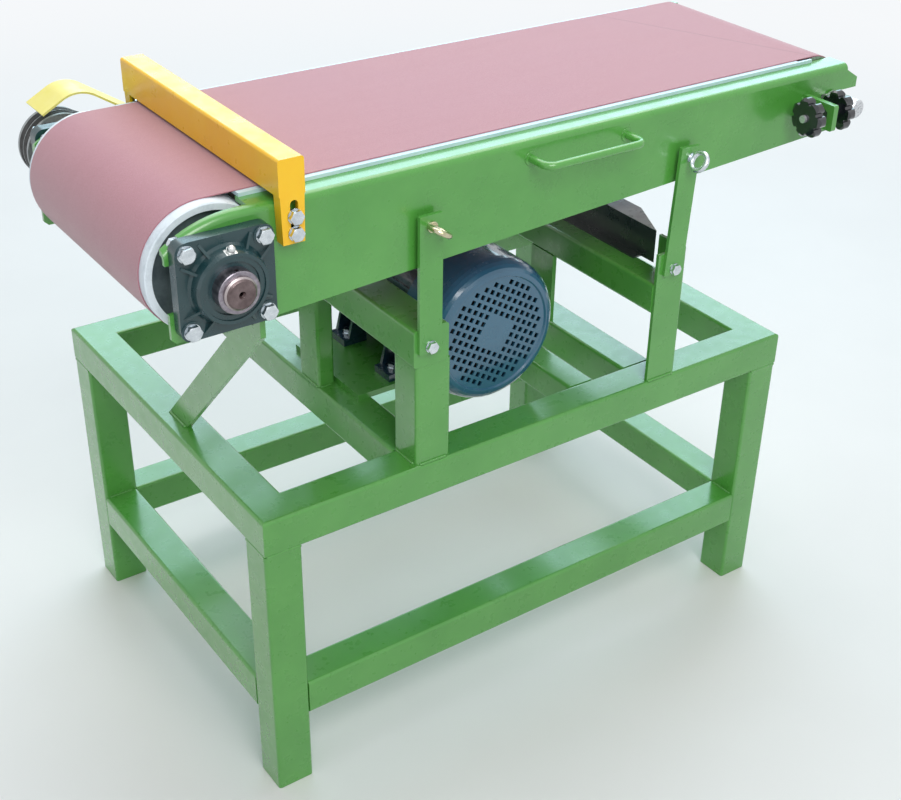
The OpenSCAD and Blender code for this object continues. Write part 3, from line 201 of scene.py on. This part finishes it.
def enamel(name, main, deep, pale, rough=0.3, coat=0.6, peel=0.12, dust=0.0, coat_rough=0.1):
    """Brushed or sprayed gloss paint: slight drift of tone, orange peel, thin places at random."""
    m = Mat(name, main, rough)
    c = m.mix(m.cloud(9, detail=4, rough=0.6), deep, main)
    flecks = m.ramp(m.noise(126, 3, 0.7), 0.62, 0.74, 0, 0.1)
    c = m.mix(flecks, c, pale)
    if dust:
        settle = m.ramp(m.noise(27, 5, 0.7), 0.52, 0.72, 0, dust)
        c = m.mix(settle, c, (0.32, 0.30, 0.26, 1))
    m.color(c)
    m.rough(m.cloud(45, rough * 0.75, rough * 1.35))
    m.coat(coat, coat_rough)
    waves = m.bump(m.noise(27, 2), peel, 2 * MM)
    m.bump(m.noise(420, 2), peel * 0.3, 0.25 * MM, waves)
    return m


def steel(name, color, dark, rough=0.3, grain=(1, 1, 1), scale=60, tarnish=0.3,
          tint=(0.25, 0.16, 0.1, 1), metal=1.0):
    """Bare or plated metal: fine grain, and spots of tarnish."""
    m = Mat(name, color, rough, metal)
    streak = m.cloud(scale, detail=4, rough=0.6, stretch=grain)
    spots = m.ramp(m.noise(38, 5, 0.7), 0.55, 0.75, 0, tarnish)
    m.color(m.mix(spots, m.mix(streak, dark, color), tint))
    m.rough(m.ramp(m.noise(scale, 3, 0.6, grain), 0.25, 0.75, rough * 0.7, rough * 1.4))
    m.bump(m.noise(scale * 4, 2, 0.5, grain), 0.12, 0.3 * MM)
    return m


def moulded(name, color, pale, rough, scale=500, coat=0.2, bump=0.12):
    """Plastic or rubber with a fine skin, a little paler in places."""
    m = Mat(name, color, rough)
    m.color(m.mix(m.ramp(m.noise(30, 4), 0.45, 0.75, 0, 0.5), color, pale))
    m.rough(m.cloud(80, rough * 0.8, rough * 1.3))
    m.coat(coat, 0.1)
    m.bump(m.noise(scale, 2), bump, 0.2 * MM)
    return m


# Materials of single pieces, placed by the sizes of those pieces

drum_lo, drum_hi = (Vector(c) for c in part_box("drive_drum"))
drum_axis = (drum_lo + drum_hi) / 2
DRUM_WALL = 9.6 * MM

cast_lo, cast_hi = (Vector(c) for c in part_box("bearing_housings"))
cast_mid = (cast_lo + cast_hi) / 2
BOSS_TOP = 46.5 * MM                             # over the shaft's axis, where the nipple stands
NIPPLE_HIGH = 16 * MM
NIPPLE_HALF = 7.5 * MM
NIPPLE_IN = 14 * MM                              # from the boss's outer face to behind the nipple

SHAFT_CHAMFER = 2.2 * MM
TURNING = 5200                                   # waves left by the tool, in radians per metre

CHANNEL_SKIN = 0.8 * MM
# Where the painted reflection lies on the channel's top, measured from its mitred end
REFLECTION_FROM, REFLECTION_TO = 130 * MM, 90 * MM           # from the channel's mitred end

UPPER_RUN = 16 * MM                              # depth from the belt's top that its upper run lies in
SPLICE_A, SPLICE_B = P(903.4, 416.4, 0), P(1068.6, 47.1, 0)


def casting():
    """Painted iron with a cast skin, and a bright grease nipple on each boss."""
    m = enamel("bearing_enamel", srgb(30, 66, 70), srgb(20, 50, 54), srgb(66, 108, 112), 0.3, 0.4)
    m.bump(m.noise(260, 4, 0.6), 0.28, 0.9 * MM)
    x, y, z = m.xyz()
    painted = m.b.inputs["Base Color"].links[0].from_socket
    boss_top = drum_axis.z + BOSS_TOP
    nipple_in = (cast_hi.y - cast_lo.y) / 2 - NIPPLE_IN
    nipple = m.product(
        m.math("GREATER_THAN", z, boss_top),
        m.math("LESS_THAN", z, boss_top + NIPPLE_HIGH),
        m.math("LESS_THAN", m.math("ABSOLUTE", m.math("SUBTRACT", x, cast_mid.x)), NIPPLE_HALF),
        m.math("GREATER_THAN", m.math("ABSOLUTE", m.math("SUBTRACT", y, cast_mid.y)), nipple_in))
    m.color(m.mix(nipple, painted, srgb(214, 216, 214)))
    m.metal(nipple)
    return m


def channel():
    """Dark folded sheet, with a painted reflection: paler towards the mitred end of the top."""
    m = enamel("channel_enamel", srgb(42, 56, 50), srgb(34, 46, 42), srgb(58, 72, 68), 0.3, 0.8, 0.05)
    lo, hi = (Vector(c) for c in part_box("mitred_channel"))
    _, y, z = m.xyz()
    painted = m.b.inputs["Base Color"].links[0].from_socket
    # Painted reflection: a pale patch on the channel's top, fading in from the mitred end
    painted_reflection = m.product(
        m.math("GREATER_THAN", z, hi.z - CHANNEL_SKIN),
        m.ramp(y, lo.y + REFLECTION_FROM, lo.y + REFLECTION_TO),
        m.ramp(m.noise(30, 5, 0.7), 0.2, 0.5, 0.45, 0.95))
    m.color(m.mix(painted_reflection, painted, srgb(168, 186, 178)))
    return m


def shaft():
    """Turned steel with rings left by the tool on its end, browned by handling."""
    m = Mat("shaft_steel", srgb(140, 112, 94), 0.34, 1.0)
    lo, hi = (Vector(c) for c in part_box("drum_shaft"))
    r = m.radius(drum_axis)
    rings = m.math("SINE", m.math("MULTIPLY", r, TURNING))
    c = m.mix(m.cloud(60, detail=5, rough=0.65), srgb(90, 78, 78), srgb(138, 122, 122))
    c = m.mix(m.ramp(rings, -1, 1, 0, 0.3), c, srgb(82, 70, 70))
    chamfer = m.math("GREATER_THAN", r, (hi.z - lo.z) / 2 - SHAFT_CHAMFER)
    m.color(m.mix(chamfer, c, srgb(176, 166, 166)))
    m.rough(m.cloud(90, 0.26, 0.5))
    m.bump(rings, 0.2, 0.1 * MM)
    return m


def abrasive():
    """Cloth belt with bonded grain: fine speckle, faint streaks along the run, a scarfed joint."""
    m = Mat("abrasive_cloth", srgb(176, 116, 122), 0.86)
    grain = m.n("ShaderNodeTexVoronoi", Scale=1500)
    m.link(m.pos, grain.inputs["Vector"])
    grain = grain.outputs["Distance"]
    speck = m.noise(1100, 2, 0.6)
    streak = m.cloud(10, detail=4, rough=0.6, stretch=(0.6, 5, 0.6))
    c = m.mix(streak, srgb(176, 117, 129), srgb(180, 122, 134))
    c = m.mix(m.ramp(m.noise(5, 4, 0.6), 0.35, 0.7, 0, 0.5), c, srgb(176, 120, 136))
    c = m.mix(m.ramp(speck, 0.42, 0.6, 0, 0.5), c, srgb(146, 90, 98))
    c = m.mix(m.ramp(grain, 0.0, 0.35, 0.35, 0), c, srgb(208, 164, 170))
    # The joint: a slanting line across the cloth's upper run
    x, y, z = m.xyz()
    run = (SPLICE_B - SPLICE_A).normalized()
    off = m.math("ADD", m.product(m.math("SUBTRACT", x, SPLICE_A.x), -run.y),
                 m.product(m.math("SUBTRACT", y, SPLICE_A.y), run.x))
    line = m.ramp(m.math("ABSOLUTE", off), 0.4 * MM, 1.6 * MM, 0.65, 0)
    _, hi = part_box("sanding_belt")
    top = m.math("GREATER_THAN", z, hi[2] - UPPER_RUN)
    m.color(m.mix(m.product(line, top), c, srgb(116, 70, 76)))
    m.b.inputs["Sheen Weight"].default_value = 0.55
    m.b.inputs["Sheen Roughness"].default_value = 0.5
    m.rough(m.ramp(speck, 0.3, 0.7, 0.74, 0.92))
    pits = m.bump(grain, 0.35, 0.4 * MM)
    m.bump(speck, 0.25, 0.3 * MM, pits)
    return m


def drum():
    """White covered shell with scuffs, and darker grey inside its wall."""
    m = Mat("drum_white", srgb(228, 236, 242), 0.5)
    inside = m.math("LESS_THAN", m.radius(drum_axis), (drum_hi.z - drum_lo.z) / 2 - DRUM_WALL)
    scuff = m.ramp(m.noise(40, 5, 0.7), 0.5, 0.72, 0, 0.5)
    white = m.mix(scuff, srgb(226, 236, 244), srgb(170, 184, 194))
    smear = m.ramp(m.noise(14, 5, 0.7), 0.35, 0.65)
    dark = m.mix(smear, srgb(66, 80, 86), srgb(108, 122, 126))
    m.color(m.mix(inside, white, dark))
    m.rough(m.cloud(50, 0.36, 0.58, detail=4))
    m.bump(m.noise(300, 3), 0.15, 0.4 * MM)
    return m


green = enamel("frame_green", srgb(84, 159, 66), srgb(72, 147, 56), srgb(106, 174, 90),
               rough=0.3, coat=0.85, peel=0.10, dust=0.02, coat_rough=0.17)
yellow = enamel("fence_yellow", srgb(250, 202, 24), srgb(246, 188, 12), srgb(255, 222, 70),
                rough=0.34, coat=0.28, peel=0.06)
guard = enamel("guard_yellow", srgb(238, 230, 140), srgb(230, 218, 112), srgb(248, 242, 180),
               rough=0.45, coat=0.15, peel=0.06)
motor_blue = enamel("motor_enamel", srgb(40, 70, 88), srgb(30, 56, 74), srgb(70, 106, 124),
                    rough=0.26, coat=0.9, dust=0.03)
cover_blue = enamel("cover_enamel", srgb(52, 106, 134), srgb(40, 88, 116), srgb(84, 140, 164),
                    rough=0.22, coat=0.8, peel=0.06)

zinc = steel("zinc_bolts", srgb(228, 234, 238), srgb(190, 198, 204), 0.24, scale=90, tarnish=0.15,
             tint=srgb(140, 140, 134))
eye_zinc = steel("yellow_zinc", srgb(226, 222, 200), srgb(184, 176, 140), 0.24, scale=90,
                 tarnish=0.35, tint=srgb(150, 128, 84))
# The grain of these is drawn out along the way that they were rolled or turned
platen = steel("platen_steel", srgb(208, 232, 240), srgb(192, 218, 228), 0.5, (0.15, 3, 1), 120,
               tarnish=0.1, tint=srgb(150, 162, 172), metal=0.1)
bright = steel("bright_steel", srgb(222, 224, 226), srgb(186, 190, 194), 0.3, (3, 0.2, 3), 90,
               tarnish=0.2, tint=srgb(140, 130, 118), metal=0.7)
ring_steel = steel("bearing_steel", srgb(168, 162, 170), srgb(126, 118, 128), 0.34, (2, 0.3, 2), 80,
                   tint=srgb(96, 84, 90))
roller = steel("roller_steel", srgb(188, 192, 194), srgb(150, 154, 158), 0.34, (3, 0.1, 3), 80,
               tarnish=0.2, tint=srgb(110, 104, 96))
pulley = steel("pulley_iron", srgb(172, 176, 176), srgb(140, 144, 146), 0.45, (3, 0.3, 3), 90,
               tarnish=0.15, tint=srgb(96, 92, 88), metal=0.6)
core = steel("stator_core", srgb(120, 92, 70), srgb(90, 66, 48), 0.5, (0.3, 4, 0.3), 120,
             tarnish=0.2)

knob = moulded("knob_black", srgb(16, 18, 24), srgb(34, 38, 46), 0.18, 300, coat=1.0, bump=0.05)
fan = moulded("fan_plastic", srgb(40, 44, 48), srgb(66, 70, 74), 0.5)
rubber = moulded("drive_rubber", srgb(34, 34, 34), srgb(64, 62, 60), 0.7, 900, coat=0.0, bump=0.3)

# What isn't named here is green
LOOKS = (
    (zinc, "link_bolts eye_bolt_right bearing_bolts motor_bolts fence_bolts"),
    (eye_zinc, "eye_bolt_left"),
    (channel(), "mitred_channel"),
    (platen, "platen"),
    (yellow, "fence"),
    (guard, "belt_guard"),
    (abrasive(), "sanding_belt"),
    (drum(), "drive_drum"),
    (shaft(), "drum_shaft"),
    (casting(), "bearing_housings"),
    (ring_steel, "bearing_inner_rings idler_bearings"),
    (roller, "idler_roller"),
    (bright, "idler_shaft tension_rods motor_rotor"),
    (knob, "star_knobs_front star_knobs_rear"),
    (motor_blue, "motor_frame motor_end_shields terminal_box"),
    (core, "motor_stator"),
    (cover_blue, "fan_cover"),
    (fan, "cooling_fan"),
    (pulley, "drum_pulley motor_pulley"),
    (rubber, "v_belts"),
)
look_of = {name: look for look, names in LOOKS for name in names.split()}
for name, obj in nodes.items():
    obj.data.materials.clear()
    obj.data.materials.append(look_of.get(name, green).m)


# Weld beads, in millimetres from the stand's corner

UP, LF, RT, FR, BK = (0, 0, 1), (-1, 0, 0), (1, 0, 0), (0, -1, 0), (0, 1, 0)
STEP = 0.0016                                    # metres from one ring of a bead to the next
SWELL, SWELL_TURN, JITTER, END = 0.13, 2.1, 0.08, 0.45   # of the size of a bead's rings
FILLET_MAIN, FILLET_THIN, FILLET_ROUND = 3.2, 2.6, 1.6   # legs of the fillets
FILLET_DEEP, FILLET_BACK = 0.4, 0.86             # its root under the faces, and its rounded back
GROUND_WIDE, GROUND_HIGH, GROUND_DEEP = 3.2, 0.12, 2.4   # half of a ground bead, and from its faces

beads = bmesh.new()
rng = random.Random(7)


def bead(p, q, section):
    """A rippled bead from p to q, its outline given by the points of section."""
    p, q = P(*p), P(*q)
    run = q - p
    steps = max(4, int(run.length / STEP))
    rows = []
    for i in range(steps + 1):
        s = MM * (1 + SWELL * math.sin(i * SWELL_TURN) + rng.uniform(-JITTER, JITTER))
        if i in (0, steps):
            s *= END
        rows.append([beads.verts.new(p + run * i / steps + v * s) for v in section])
    n = len(section)
    for r0, r1 in zip(rows, rows[1:]):
        for k in range(n):
            beads.faces.new((r0[k], r0[(k + 1) % n], r1[(k + 1) % n], r1[k]))
    for r in (rows[0], rows[-1]):
        beads.faces.new(r)


def weld(p, q, side_a, side_b, leg=FILLET_MAIN):
    """A fillet bead in the corner of two faces that look to side_a and side_b."""
    a, b = Vector(side_a).normalized(), Vector(side_b).normalized()
    root, back = -FILLET_DEEP * (a + b), (a + b).normalized() * leg * FILLET_BACK
    bead(p, q, [root, a * leg - b * FILLET_DEEP, back, b * leg - a * FILLET_DEEP])


def butt(p, q, side, across):
    """A bead ground nearly flush in the groove between two faces that look to one side."""
    n, t = Vector(side), Vector(across) * GROUND_WIDE
    deep, high = GROUND_DEEP * n, GROUND_HIGH * n
    bead(p, q, [-deep - 0.3 * t, -0.5 * n - t, high - 0.6 * t,
                high + 0.6 * t, -0.5 * n + t, -deep + 0.3 * t])


def edge(lo, hi, side, z, before, after):
    """Ends of a level line on one side of a box, short of its corners."""
    if side in (LF, RT):
        x = lo.x if side == LF else hi.x
        return (x, lo.y + before, z), (x, hi.y - after, z)
    y = lo.y if side == FR else hi.y
    return (lo.x + before, y, z), (hi.x - after, y, z)


# Legs under the upper frame, ground at the outer faces
LEG_BARE = (3, 1)
for leg in ("leg_front_left", "leg_front_right", "leg_rear_left", "leg_rear_right"):
    lo, hi = box_mm(leg)
    for side in (FR if "front" in leg else BK, LF if "left" in leg else RT):
        butt(*edge(lo, hi, side, hi.z, *LEG_BARE), side, UP)

# Posts on the stand, each face with the lengths left bare before and after its bead
for post, side, before, after in (
        ("post_front_left", FR, 6, 6), ("post_front_left", LF, 7, 5), ("post_front_left", RT, 7, 5),
        ("post_front_right", FR, 2, 5), ("post_front_right", RT, 5, 1),
        ("post_rear_left", LF, 4, 4), ("post_rear_left", FR, 4, 4),
        ("post_rear_right", LF, 2, 2)):
    lo, hi = box_mm(post)
    weld(*edge(lo, hi, side, lo.z, before, after), side, UP)

# Foot of the brace
BRACE_FOOT, BRACE_BARE, BRACE_LEG = 57, 2, 4
lo, hi = box_mm("head_brace")
for side in (LF, RT):
    weld(*edge(lo, hi, side, lo.z, hi.y - lo.y - BRACE_FOOT, BRACE_BARE), side, UP, BRACE_LEG)

# Lower rails against the legs
RAIL_BARE = 8
for rail in ("rail_lower_front", "rail_lower_rear"):
    lo, hi = box_mm(rail)
    for x, side in ((lo.x, RT), (hi.x, LF)):
        weld((x, lo.y + RAIL_BARE, hi.z), (x, hi.y - RAIL_BARE, hi.z), side, UP, FILLET_THIN)
for rail in ("rail_lower_left", "rail_lower_right"):
    lo, hi = box_mm(rail)
    for y, side in ((lo.y, BK), (hi.y, FR)):
        weld((lo.x + RAIL_BARE, y, hi.z), (hi.x - RAIL_BARE, y, hi.z), side, UP, FILLET_THIN)

# Cross rails against the front and rear rails
CROSS_FOOT, CROSS_HEAD = 4, 6
for rail in ("cross_rail_left", "cross_rail_right"):
    lo, hi = box_mm(rail)
    for y, end in ((lo.y, BK), (hi.y, FR)):
        for x, side in ((lo.x, LF), (hi.x, RT)):
            weld((x, y, lo.z + CROSS_FOOT), (x, y, hi.z - CROSS_HEAD), side, end, FILLET_THIN)

# Round the handle's feet
plate_front, plate_rear = box_mm("side_plate_front")[0].y, box_mm("side_plate_rear")[1].y
FEET_X, FOOT_R, FOOT_SIDES = (453, 629), 10, 10
FOOT_RISE = 10.2                                 # of a foot's axis over the handle's underside
foot_z = box_mm("lift_handle")[0].z + FOOT_RISE
turns = [k * math.tau / FOOT_SIDES for k in range(FOOT_SIDES + 1)]
for x in FEET_X:
    for t0, t1 in zip(turns, turns[1:]):
        p, q = ((x + FOOT_R * math.cos(t), plate_front, foot_z + FOOT_R * math.sin(t))
                for t in (t0, t1))
        mid = (t0 + t1) / 2
        weld(p, q, (math.cos(mid), 0, math.sin(mid)), FR, FILLET_ROUND)

# Tension brackets on the side plates
BRACKET_FOOT, BRACKET_HEAD = 4.1, 3.9
lo, hi = box_mm("tension_brackets")
for y, face in ((plate_front, FR), (plate_rear, BK)):
    for x, side in ((lo.x, LF), (hi.x, RT)):
        weld((x, y, lo.z + BRACKET_FOOT), (x, y, hi.z - BRACKET_HEAD), side, face, FILLET_THIN)

mesh = bpy.data.meshes.new("weld_beads")
bmesh.ops.recalc_face_normals(beads, faces=beads.faces)
beads.to_mesh(mesh)
beads.free()
for f in mesh.polygons:
    f.use_smooth = True
bead_obj = bpy.data.objects.new("weld_beads", mesh)
bpy.context.scene.collection.objects.link(bead_obj)
mesh.materials.append(green.m)
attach(bead_obj, "machine")


# Floor, light and world

PALE = (0.92, 0.94, 0.96, 1)                     # colour of the studio round the part
FLOOR_HALF, FLOOR_Z = 30, -0.5 * MM
FADE_FROM, FADE_TO = 1.1, 4.2                    # metres from the part, where the floor goes pale
WORLD_LIGHT, WORLD_SEEN = 0.42, 1.0


def seen_ray(tree):
    """One for a ray that looks at a surface, directly, in gloss or through glass, else zero."""
    rays = tree.nodes.new("ShaderNodeLightPath")
    out = rays.outputs["Is Camera Ray"]
    for kind in ("Is Glossy Ray", "Is Transmission Ray"):
        node = tree.nodes.new("ShaderNodeMath")
        node.operation = "MAXIMUM"
        tree.links.new(out, node.inputs[0])
        tree.links.new(rays.outputs[kind], node.inputs[1])
        out = node.outputs[0]
    return out


def studio_floor():
    """A pale floor that takes the part's shadow, and fades into the studio's colour."""
    m = Mat("floor_pale", (0.78, 0.78, 0.77, 1), 0.6)
    m.color(m.mix(m.cloud(2), (0.77, 0.77, 0.76, 1), (0.80, 0.80, 0.79, 1)))
    x, y, _ = m.xyz()
    fade = m.n("ShaderNodeMapRange", interpolation_type="SMOOTHSTEP")
    fade.inputs["From Min"].default_value = FADE_FROM
    fade.inputs["From Max"].default_value = FADE_TO
    m.link(m.length(x, y), fade.inputs["Value"])
    glow = m.n("ShaderNodeEmission", Color=PALE, Strength=1.0)
    both = m.n("ShaderNodeMixShader")
    m.link(m.product(fade.outputs[0], seen_ray(m.t)), both.inputs[0])
    m.link(m.b.outputs[0], both.inputs[1])
    m.link(glow.outputs[0], both.inputs[2])
    m.link(both.outputs[0], m.t.nodes["Material Output"].inputs["Surface"])
    return m


floor_mesh = bpy.data.meshes.new("floor")
floor_corners = [(x * FLOOR_HALF, y * FLOOR_HALF, FLOOR_Z)
                 for x, y in ((-1, -1), (1, -1), (1, 1), (-1, 1))]
floor_mesh.from_pydata(floor_corners, [], [(0, 1, 2, 3)])
floor = bpy.data.objects.new("floor", floor_mesh)
bpy.context.scene.collection.objects.link(floor)
floor_mesh.materials.append(studio_floor().m)


def area(name, place, target, size, power, color=(1, 1, 1)):
    """A rectangular light at a place, turned to a target."""
    data = bpy.data.lights.new(name, "AREA")
    data.shape = "RECTANGLE"
    data.size, data.size_y = size
    data.energy = power
    data.color = color
    lamp = bpy.data.objects.new(name, data)
    bpy.context.scene.collection.objects.link(lamp)
    lamp.location = place
    lamp.rotation_euler = (Vector(target) - Vector(place)).to_track_quat("-Z", "Y").to_euler()


area("key", (-1.0, -3.0, 3.4), (0, 0, 0.6), (2.4, 2.0), 92)
area("top", (0.6, 0.9, 3.4), (0, 0, 0.5), (3.4, 2.4), 62)
area("fill", (-3.6, 0.4, 1.6), (0, 0, 0.5), (2.0, 2.4), 6, (0.7, 0.9, 1.0))
area("back", (3.4, 4.4, 3.3), (0, 0, 0.7), (6.4, 3.0), 150, (0.52, 0.84, 1.0))

world = bpy.data.worlds.new("studio")
bpy.context.scene.world = world
world.use_nodes = True
tree = world.node_tree
sky = tree.nodes["Background"]
sky.inputs["Color"].default_value = PALE
level = tree.nodes.new("ShaderNodeMapRange")
level.inputs["To Min"].default_value = WORLD_LIGHT
level.inputs["To Max"].default_value = WORLD_SEEN
tree.links.new(seen_ray(tree), level.inputs["Value"])
tree.links.new(level.outputs[0], sky.inputs["Strength"])

bpy.context.scene.view_settings.view_transform = "Standard"
